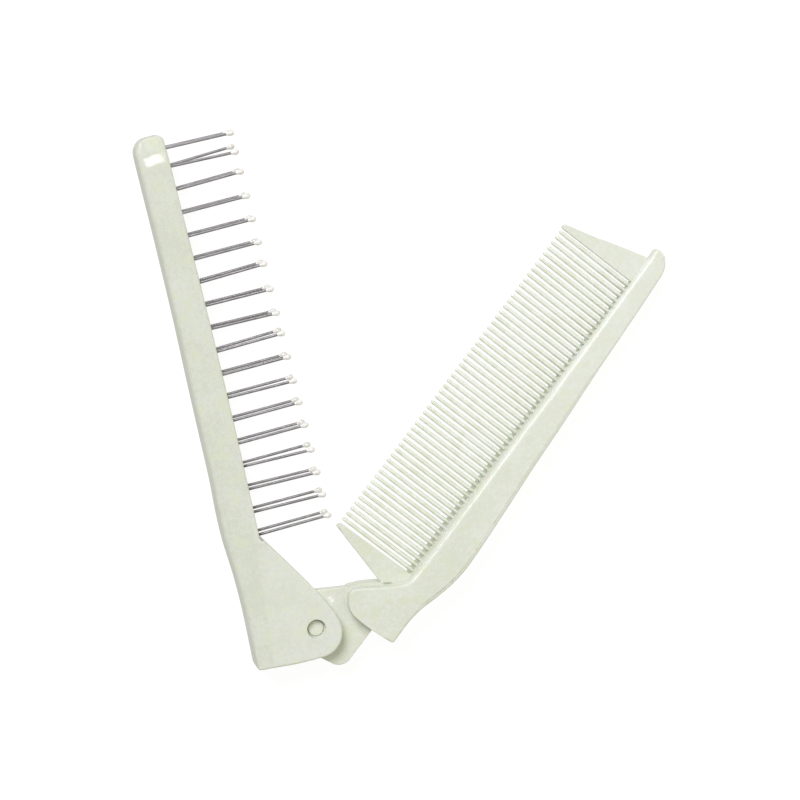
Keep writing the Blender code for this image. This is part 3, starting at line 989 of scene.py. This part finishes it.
@dataclass(frozen=True)
class BrushPins:
    """Two rows of wire pins with dipped tips, one in each side of the slot.

    place is the handle's frame. leans has a row for each pair of pins that isn't straight: its number and
    how far its upper and its lower pin lean, in degrees. The wire's rings are shares of its length.
    """

    place: HingeFrame
    rows: int = 18
    pitch: float = 7.0
    first_y: float = 31.9
    last_pitch: float = 5.5
    row_height: float = 3.6
    tip_x: float = 13.1
    depth: float = 3.4
    wire_radius: float = 0.43
    wire_rings: tuple = (0.3, 0.7, 1.0)
    wire_sides: int = 14
    tip_radius: float = 0.85
    tip_length: float = 2.5
    tip_widest: float = 0.6
    tip_wall: float = 0.06
    tip_sides: int = 20
    sharp: float = 50.0
    leans: tuple = ((2, -1.6, -0.6), (3, -1.8, -1.8), (4, -1.8, 0.0), (7, -1.0, 0.0), (9, 0.6, 1.4),
                    (10, -1.6, -1.6), (11, -0.8, -0.8), (12, 1.2, 1.2), (16, 1.0, 1.0), (17, -2.0, 2.0),
                    (18, -1.4, -1.4))

    def wire_profile(self, length: float) -> Rows:
        """Give the wire's profile.

        Args:
            length: the pin's length outside the handle.

        Returns:
            Pairs of radius and distance from the handle's edge.
        """
        end = length - self.tip_length / 2
        rings = [(self.wire_radius, at) for at in (-self.depth, *(end * share for share in self.wire_rings))]
        return [(0.0, -self.depth), *rings, (0.0, end)]

    def tip_profile(self, length: float) -> Rows:
        """Give the dipped tip's profile.

        From its mouth on the wire the radius swells along a smooth step to its widest, and then follows an
        ellipse to its end.

        Args:
            length: the pin's length outside the handle.

        Returns:
            Pairs of radius and distance from the handle's edge.
        """
        widest, rest = self.tip_widest, 1 - self.tip_widest
        share = np.concatenate([np.linspace(0.0, widest, 8),
                                widest + rest * np.sin(np.radians(np.arange(12, 91, 13)))])
        share[-1] = 1.0
        mouth = self.wire_radius + self.tip_wall
        swell = mouth + (self.tip_radius - mouth) * smooth_step(share, 0.0, widest)
        dome = self.tip_radius * np.sqrt(np.maximum(0.0, 1 - ((share - widest) / rest) ** 2))
        start = length - self.tip_length
        outside = zip(np.where(share <= widest, swell, dome), start + share * self.tip_length)
        return [(0.0, start + 0.1), (self.wire_radius * 0.9, start + 0.05), *outside]

    def build(self, edge: Rows, steel: Finish, cream: Finish) -> None:
        """Make every pin, as a wire and its tip.

        Args:
            edge: the handle's edge that the pins stand on, as rows of y and x.
            steel: the wires' finish.
            cream: the tips' finish.
        """
        leans = {(row, side): lean for row, *both in self.leans for side, lean in zip(Side, both)}
        for side in Side:
            for row in range(1, self.rows + 1):
                last = self.last_pitch - self.pitch if row == self.rows else 0.0
                y = self.first_y + (row - 1) * self.pitch + last
                x = float(smooth_reading(edge, np.array([y]))[0])
                lean = math.radians(leans.get((row, side), 0.0))
                base = np.array([x, y, side.value * self.row_height])
                turn = np.array([[0.0, 0.0, 1.0], [-math.sin(lean), math.cos(lean), 0.0],
                                 [math.cos(lean), math.sin(lean), 0.0]])
                length = (self.tip_x - x) / math.cos(lean)
                code = f"{side.name.lower()}_{row:02d}"
                wire = turned(self.wire_profile(length), self.wire_sides)
                tip = turned(self.tip_profile(length), self.tip_sides)
                for kind, grid, finish in (("wire", wire, steel), ("tip", tip, cream)):
                    made = Skin(self.place).add(grid @ turn + base, ring=True).build(f"{kind}_{code}")
                    shade(made, self.sharp)
                    dress(made, finish, Body.HANDLE, f"pin_{code}")


# The comb.

def constant(value: float) -> Callable[[Points], Points]:
    """Give a function of points that has one value everywhere."""
    return lambda points: np.full(len(points), value)


def stepped(place: Points, start: float, changes: Sequence[Place]) -> Points:
    """Start from a value and add amounts, each along a smooth step between its two places."""
    return start + sum(amount * smooth_step(place, low, high) for amount, low, high in changes)


@dataclass(frozen=True)
class CombHalf:
    """The comb half: knuckle and spine, fine teeth, guards, and the tongue with its bosses.

    place is its frame. Rows of the back edge hold y and x, and those of a boss hold radius and height over
    its end. The rims of the back and the inner edge have a radius and its changes along the spine, each an
    amount with the y at which it starts and ends. A pair of tooth sizes holds the one at the root and the
    one at the point. Tooth rings are shares of the way to the point and then of the point. The pale spots
    painted on the tongue as highlights hold x, y and a radius. The other tables hold points (x, y) of an
    outline in order.
    """

    place: HingeFrame
    wall: tuple = ((14.1, 29.0), (14.35, 150.0))
    inner: tuple = ((1.65, 14.15), (1.55, 15.1), (1.88, 16.1), (2.7, 17.0), (5.5, 19.26), (8.4, 21.6),
                    (11.9, 24.8), (13.6, 26.7), (14.03, 27.8), (14.1, 29.0))
    back_rows: tuple = ((12.5, 21.5), (18.0, 21.5), (23.0, 22.1), (29.0, 23.8), (35.0, 25.2), (41.0, 25.8),
                        (47.0, 25.65), (60.0, 24.95), (77.0, 23.85), (95.0, 23.0), (113.0, 22.0),
                        (131.0, 21.3), (146.0, 20.6))
    tip: tuple = ((20.6, 146.0), (20.45, 147.4), (20.2, 148.9), (19.62, 150.27), (18.81, 151.46),
                  (17.71, 152.45), (16.4, 152.98), (15.4, 153.08))
    tip_corner: tuple = ((15.4, 153.08), (14.95, 152.98), (14.65, 152.75), (14.45, 152.4), (14.35, 151.9),
                         (14.35, 150.0))
    tip_splits: Pair = (151.4, 15.0)
    shoulder: tuple = ((1.65, 14.15), (2.15, 13.2), (2.8, 12.28), (3.6, 11.35), (4.65, 10.58), (5.85, 10.03),
                       (7.3, 9.7), (9.0, 9.58), (13.3, 9.56), (19.8, 9.92))
    shoulder_split: float = 4.4
    corner_centre: Pair = (20.4, 11.1)
    corner_radius: float = 1.1
    step: tuple = ((12.5, 23.0), (11.0, 24.8), (8.2, 22.38), (4.5, 19.28), (3.3, 18.0), (2.75, 17.2),
                   (2.55, 16.75), (2.5, 16.3), (2.75, 15.9), (5.0, 15.0))
    step_heights: Pair = (-5.6, 1.1)
    step_rim: float = 0.14
    back_from: Pair = (17.5, 20.3)
    back_shift: tuple = (0.0, ((2.0, 145.0, 149.5),))
    back_rim: tuple = (1.05, ((-0.30, 60.0, 150.0),))
    inner_rim: tuple = (0.22, ((0.30, 14.5, 17.0), (1.40, 25.0, 32.0), (-0.35, 100.0, 150.0),
                               (-0.45, 149.0, 152.5)))
    half: float = 6.5
    thin_start: float = 46.0
    thin_scale: float = 40.0
    thin_drop: float = 1.05
    thin_power: float = 1.4
    tooth_count: int = 55
    tooth_pitch: float = 1.9982
    first_gap: float = 30.08
    tooth_root_x: float = 16.0
    tooth_widths: Pair = (1.38, 1.18)
    tooth_depths: Pair = (4.0, 1.8)
    tooth_point: float = 0.65
    tooth_sides: int = 12
    tooth_rings: tuple = ((0.0, 0.001, 0.16, 0.33, 0.52, 0.74, 1.0), (0.35, 0.62, 0.82, 0.95, 1.0))
    section_power: float = 2.5
    fall_power: float = 2.2
    point_power: float = 2.6
    tip_line: Pair = (-12.75, -12.6)
    guard_half: float = 1.1
    guard_rim: float = 0.28
    tongue_half: float = 2.1
    tongue_rim: float = 0.32
    tongue_radius: float = 8.0
    tongue_corner: tuple = ((10.5, -1.5), 4.28)
    # Pale spots painted on the tongue as highlights: x, y and radius in millimetres.
    tongue_glints: tuple = ((6.6, 7.3, 0.55), (7.1, 6.3, 0.7))
    plate_steps: int = 4
    plate_margin: float = 0.05
    boss_half: float = 4.55
    boss_rows: tuple = ((0.0, -0.06), (1.2, -0.03), (1.8, 0.0), (1.95, -0.03), (2.17, -0.10), (2.33, -0.22),
                        (2.42, -0.38), (2.45, -0.55))
    boss_sides: int = 48
    # Painted light: the comb's plastic is a paler copy of the handle's, and its teeth are paler still.
    painted_lightness: float = 1.055
    tooth_painted_lightness: float = 1.18
    # Painted light: the comb's colour grows paler towards its tip; start and end in metres along it, and
    # strength.
    tip_painted_light: tuple = (0.02, 0.155, 0.22)

    def half_at(self, points: Points) -> Points:
        """Give half the thickness: full over the knuckle, then less by a power of the way past it."""
        reach = np.maximum(0.0, (points[:, 1] - self.thin_start) / self.thin_scale)
        return self.half - self.thin_drop * reach ** self.thin_power

    def rim_at(self, points: Points) -> Points:
        """Give the rim's radius.

        It is crisp on the shoulder beside the ears, small on the knuckle's inner edge, full along the wall
        behind the teeth and middling on the back, where it gets smaller as the spine gets thinner.

        Args:
            points: the places (x, y).

        Returns:
            The radius at each place.
        """
        x, y = points[:, 0], points[:, 1]
        back = smooth_step(x + stepped(y, *self.back_shift), *self.back_from)
        return back * stepped(y, *self.back_rim) + (1 - back) * stepped(y, *self.inner_rim)

    def spine(self) -> MouldedPlate:
        """Lay out the knuckle and spine, which are one moulding.

        Returns:
            The moulding.
        """
        shoulder = smooth_line(self.shoulder, 44)
        split = int(np.argmax(shoulder[:, 0] > self.shoulder_split))
        corner = self.corner_centre, self.corner_radius
        tip = line(smooth_line(self.tip, 26), smooth_line(self.tip_corner, 16))
        high, far = self.tip_splits
        first, last = int(np.argmax(tip[:, 1] > high)), int(np.argmax(tip[:, 0] < far))
        lower = line(shoulder[split:], arc(*corner, -90.0, -40.0, 6))
        front = line(arc(*corner, -40.0, 0.0, 5), edge_line(self.back_rows, 70), tip[:first + 1])
        back = line(tip[last:], np.linspace(self.wall[1], self.wall[0], 60),
                    smooth_line(self.inner, 60)[::-1], shoulder[:split + 1])
        return MouldedPlate(lower, front, tip[first:last + 1], back, self.half_at, self.rim_at)

    def even_plate(self, sides: tuple, half: float, rim: float, middle: float = 0.0) -> MouldedPlate:
        """Give a moulding of even thickness and rim from the four lines of its outline."""
        shape = constant(half), constant(rim), self.plate_steps, self.plate_margin, middle
        return MouldedPlate(*sides, *shape)

    def ledge(self) -> MouldedPlate:
        """Lay out the knuckle's lower half, which stands a little proud of its inner side.

        Returns:
            The moulding.
        """
        (low, high), shape = self.step_heights, self.step
        sides = line(shape[-1], shape[0]), line(*shape[:2]), line(*shape[1:7]), line(*shape[6:])
        return self.even_plate(sides, (high - low) / 2, self.step_rim, (high + low) / 2)

    def tooth_grids(self) -> Points:
        """Work out all the teeth at once.

        A tooth's section is a superellipse. Its width falls evenly from root to tip, and its depth by a
        power of the distance from the tip. Both shrink along a quarter superellipse over its blunt point.

        Returns:
            Points by tooth, ring along the tooth and place round the ring.
        """
        number = np.arange(self.tooth_count) + 0.5
        y = self.first_gap + number * self.tooth_pitch
        neck = np.interp(number, (0.0, self.tooth_count), self.tip_line)[:, None] + self.tooth_point
        root, sides = self.tooth_root_x, self.tooth_sides
        before, after = (np.array(rings) for rings in self.tooth_rings)
        x = np.concatenate([root + (neck - root) * before, neck - self.tooth_point * after], axis=1)
        shrink = np.concatenate([[0.0], np.ones(len(before) - 1),
                                 np.maximum(0.0, 1 - after ** self.point_power) ** (1 / self.point_power)])
        share = (root - x) / (root - neck)
        (wide, narrow), (deep, shallow) = self.tooth_widths, self.tooth_depths
        width = (wide + (narrow - wide) * share) * shrink / 2
        depth = (shallow + (deep - shallow) * np.maximum(0.0, 1 - share) ** self.fall_power) * shrink / 2
        angle = (np.arange(sides) + 0.5) * math.tau / sides
        across, up = (np.sign(wave) * np.abs(wave) ** (2 / self.section_power)
                      for wave in (np.cos(angle), np.sin(angle)))
        return np.stack([np.broadcast_to(x[..., None], (*x.shape, sides)),
                         y[:, None, None] + width[..., None] * across, depth[..., None] * up], axis=-1)

    def guards(self) -> tuple[MouldedPlate, MouldedPlate]:
        """Lay out the two three-cornered guards.

        Returns:
            The one beside the knuckle and the one at the far end.
        """
        gap = 0.5 * (self.tooth_pitch - self.tooth_widths[0])
        low_y = self.first_gap - gap
        high_y = self.first_gap + self.tooth_count * self.tooth_pitch + gap
        root = self.tooth_root_x
        knuckle = (
            line(np.linspace((-12.3, 27.9), (8.8, 22.36), 9), (12.5, 20.6), (14.2, 20.8)),
            line((14.2, 20.8), (root, 22.0), (root, low_y)),
            line(np.linspace((root, low_y), (-12.0, low_y - 0.2), 9)),
            line((-12.0, low_y - 0.2), (-12.4, low_y - 0.38), (-12.66, low_y - 0.75), (-12.8, 28.3),
                 (-12.68, 28.02), (-12.3, 27.9)))
        far = (
            line(np.linspace((-12.0, high_y - 0.2), (root, high_y), 9)),
            line((root, high_y), (root, 149.6)),
            smooth_line(((root, 149.6), (13.7, 149.1), (8.6, 147.7), (4.7, 146.6), (0.9, 145.45),
                         (-1.8, 144.5), (-5.3, 143.55), (-9.5, 142.45), (-12.2, 141.75)), 20),
            line((-12.2, 141.75), (-12.55, 141.5), (-12.78, 141.1), (-12.78, high_y + 0.25),
                 (-12.5, high_y - 0.1), (-12.0, high_y - 0.2)))
        return tuple(self.even_plate(sides, self.guard_half, self.guard_rim) for sides in (knuckle, far))

    def tongue(self) -> MouldedPlate:
        """Lay out the tongue that turns between the ears, with its root inside the knuckle.

        Returns:
            The moulding.
        """
        end, corner = ((0.0, 0.0), self.tongue_radius), self.tongue_corner
        sides = (
            line(arc(*end, 215.0, 262.0, 12), (3.0, -7.36), (7.8, -6.3), arc(*corner, -85.0, -45.0, 8)),
            line(arc(*corner, -45.0, 0.0, 8), (14.8, 4.0), (14.8, 12.5)),
            line((14.8, 12.5), (4.0, 18.5), (2.7, 17.2), (-1.6, 13.29), (-6.1, 9.2)),
            line((-6.1, 9.2), (-6.7, 8.45), (-7.1, 7.5), arc(*end, 150.0, 215.0, 12)))
        return self.even_plate(sides, self.tongue_half, self.tongue_rim)

    def bosses(self) -> Points:
        """Work out the two bosses as one round bar whose ends are rounded and slightly dished."""
        upper = [(radius, self.boss_half + up) for radius, up in self.boss_rows]
        return turned(upper + [(radius, -height) for radius, height in upper[::-1]], self.boss_sides)

    def build(self, plastic: Finish, lit_teeth_plastic: Finish) -> None:
        """Make the comb's mouldings and dress them.

        Args:
            plastic: the finish of the thick parts, a paler copy of the handle's plastic as painted light.
            lit_teeth_plastic: the finish of the teeth, painted paler still as painted light.
        """
        knuckle_guard, far_guard = self.guards()
        made = {
            "comb_spine": self.spine().skin(self.place),
            "comb_teeth": Skin(self.place).add(self.tooth_grids(), ring=True),
            "comb_guard_knuckle": knuckle_guard.skin(self.place),
            "comb_guard_far": far_guard.skin(self.place),
            "comb_knuckle_step": self.ledge().skin(self.place),
            "comb_tongue": self.tongue().skin(self.place),
            "hinge_bosses": Skin(self.place).add(self.bosses(), ring=True),
        }
        for name, skin in made.items():
            finish = lit_teeth_plastic if name == "comb_teeth" else plastic
            dress(skin.build(name), finish, Body.COMB, "comb")


# The studio.

@dataclass(frozen=True)
class Lamp:
    """A soft oblong lamp: its place and size in metres, its power in watts and its tint.

    level is the turn about z, in degrees, of a lamp that hangs level. Without it the lamp looks at the
    object. mirrored says whether glossy surfaces show the lamp.
    """

    name: str
    place: Place
    size: Pair
    power: float
    colour: Colour = (1.0, 1.0, 1.0)
    level: float | None = None
    mirrored: bool = True

    def build(self) -> None:
        """Hang the lamp."""
        lamp = bpy.data.lights.new(self.name, "AREA")
        lamp.shape = "RECTANGLE"
        lamp.size, lamp.size_y = self.size
        lamp.energy = self.power
        lamp.color = self.colour
        made = hung(self.name, lamp)
        made.location = self.place
        aimed = Vector(self.place).to_track_quat("Z", "Y").to_euler()
        made.rotation_euler = aimed if self.level is None else (0.0, 0.0, math.radians(self.level))
        made.visible_glossy = self.mirrored


@dataclass(frozen=True)
class TableSheet:
    """A wide level sheet of the table: its height and half its width in metres, its own grey and its glow.

    Only glossy surfaces see a mirrored sheet, and only the camera sees another one.
    """

    name: str
    height: float
    grey: float
    glow: float
    mirrored: bool
    reach: float = 2.5

    def build(self) -> None:
        """Lay the sheet."""
        reach, grey, white = self.reach, (*[self.grey] * 3, 1.0), (1.0, 1.0, 1.0, 1.0)
        mesh = bpy.data.meshes.new(self.name)
        corners = ((-reach, -reach), (reach, -reach), (reach, reach), (-reach, reach))
        mesh.from_pydata([(x, y, self.height) for x, y in corners], [], [(0, 1, 2, 3)])
        made = hung(self.name, mesh)
        sheet = NodeSheet.for_material(self.name)
        mesh.materials.append(sheet.dress({"Base Color": grey, "Roughness": 1.0, "Specular IOR Level": 0.0,
                                           "Emission Color": white, "Emission Strength": self.glow}))
        made.visible_diffuse = False
        made.visible_glossy = self.mirrored
        made.visible_camera = not self.mirrored
        made.visible_shadow = not self.mirrored


@dataclass(frozen=True)
class Studio:
    """A white table under soft light, and the camera at the photograph's angle.

    The room's light is strong from the table below, less from the walls and least from above, and it falls
    off from the bright heading to the other side. The losses rise between two heights on the unit sphere.
    The camera's place is measured from the hinge, in millimetres.
    """

    table: tuple = (TableSheet("floor", -0.0002, 0.16, 0.90, False),
                    TableSheet("mirrored_floor", -0.0004, 0.0, 0.65, True))
    lamps: tuple = (Lamp("key", (-0.982, 2.626, 2.853), (1.90, 1.90), 131.0, (0.99, 0.985, 1.10)),
                    Lamp("fill", (0.433, -0.364, 0.566), (0.55, 0.55), 0.8, (1.0, 1.0, 0.92), None, False),
                    Lamp("window", (0.0290, 0.250, 1.0), (0.0098, 0.152), 0.23, level=-1.1),
                    Lamp("window_side", (0.0357, 0.250, 1.0), (0.0026, 0.148), 0.025, level=-1.1))
    room_strength: float = 0.95
    wall_loss: float = 0.43
    wall_heights: Pair = (-0.15, 0.10)
    ceiling_loss: float = 0.18
    ceiling_heights: Pair = (0.0, 0.9)
    bright_heading: float = -50.0
    bright_gain: float = 0.42
    room_tint: Colour = (0.99, 1.0, 0.88)
    lens: float = 135.0
    sensor: float = 36.0
    camera_place: Place = (-96.287, 194.253, 876.459)
    camera_right: Place = (0.952689, -0.239369, 0.187313)
    camera_up: Place = (0.261959, 0.959173, -0.106605)
    camera_back: Place = (-0.154148, 0.150630, 0.976498)

    def build(self, pivot: Place) -> None:
        """Make the table, the light and the camera.

        Args:
            pivot: the hinge's place.
        """
        for part in (*self.table, *self.lamps):
            part.build()
        bpy.context.scene.world = self.room()
        bpy.context.scene.view_settings.view_transform = "Standard"
        self.camera(pivot)

    def room(self) -> bpy.types.World:
        """Make the light of the white room.

        Returns:
            The world.
        """
        sheet = NodeSheet(bpy.data.worlds.new("white_room"), "Background")
        way = sheet.make("ShaderNodeTexCoord", output="Generated")
        height = sheet.part(way, "Z")
        side = sheet.vector_value("DOT_PRODUCT", way, level_way(self.bright_heading))
        strength = (self.room_strength - height.between(*self.wall_heights) * self.wall_loss
                    - height.between(*self.ceiling_heights) * self.ceiling_loss)
        strength = strength * (1 + side * self.bright_gain)
        return sheet.dress({"Color": (*self.room_tint, 1.0), "Strength": strength})

    def camera(self, pivot: Place) -> None:
        """Make the camera from its place and its three axes.

        Args:
            pivot: the hinge's place.
        """
        lens = bpy.data.cameras.new("camera")
        lens.lens = self.lens
        lens.sensor_width = self.sensor
        made = hung("camera", lens)
        place = Vector(self.camera_place) * MM + Vector(pivot)
        axes = Matrix((self.camera_right, self.camera_up, self.camera_back)).transposed()
        made.matrix_world = Matrix.Translation(place) @ axes.to_4x4()
        bpy.context.scene.camera = made


def main() -> None:
    """Build the handle, its pins, the comb and the studio."""
    logging.basicConfig(level=logging.INFO, format="%(name)s: %(message)s")
    joint = frame["joints"][0]
    pivot, shut = tuple(joint["pos_m"]), joint["range_deg"][0]
    handle = BrushHandle(HingeFrame(pivot))
    handle.build(MouldedPlastic("handle_plastic", 1.0, pivot, (handle.ear_lift,)).build())
    root = pivot[0] + handle.front_rows[0][1] * MM
    steel, cream = DrawnSteel("drawn_steel", root).build(), DippedTip("dipped_tip").build()
    BrushPins(handle.place).build(handle.front_rows, steel, cream)
    comb = CombHalf(HingeFrame(pivot, math.radians(shut)))
    # Painted highlights on the tongue, and painted light that grows towards the comb's tip.
    glints = tuple((pivot[0] + x * MM, pivot[1] + y * MM, pivot[2] + comb.tongue_half * MM, radius * MM)
                  for x, y, radius in comb.tongue_glints)
    lifts = ((90.0 + shut, *comb.tip_painted_light),)
    comb.build(MouldedPlastic("comb_plastic", comb.painted_lightness, pivot, lifts, glints).build(),
               MouldedPlastic("comb_plastic_teeth_painted_light", comb.tooth_painted_lightness, pivot, lifts).build())
    Studio().build(pivot)


if __name__ == "__main__":
    main()
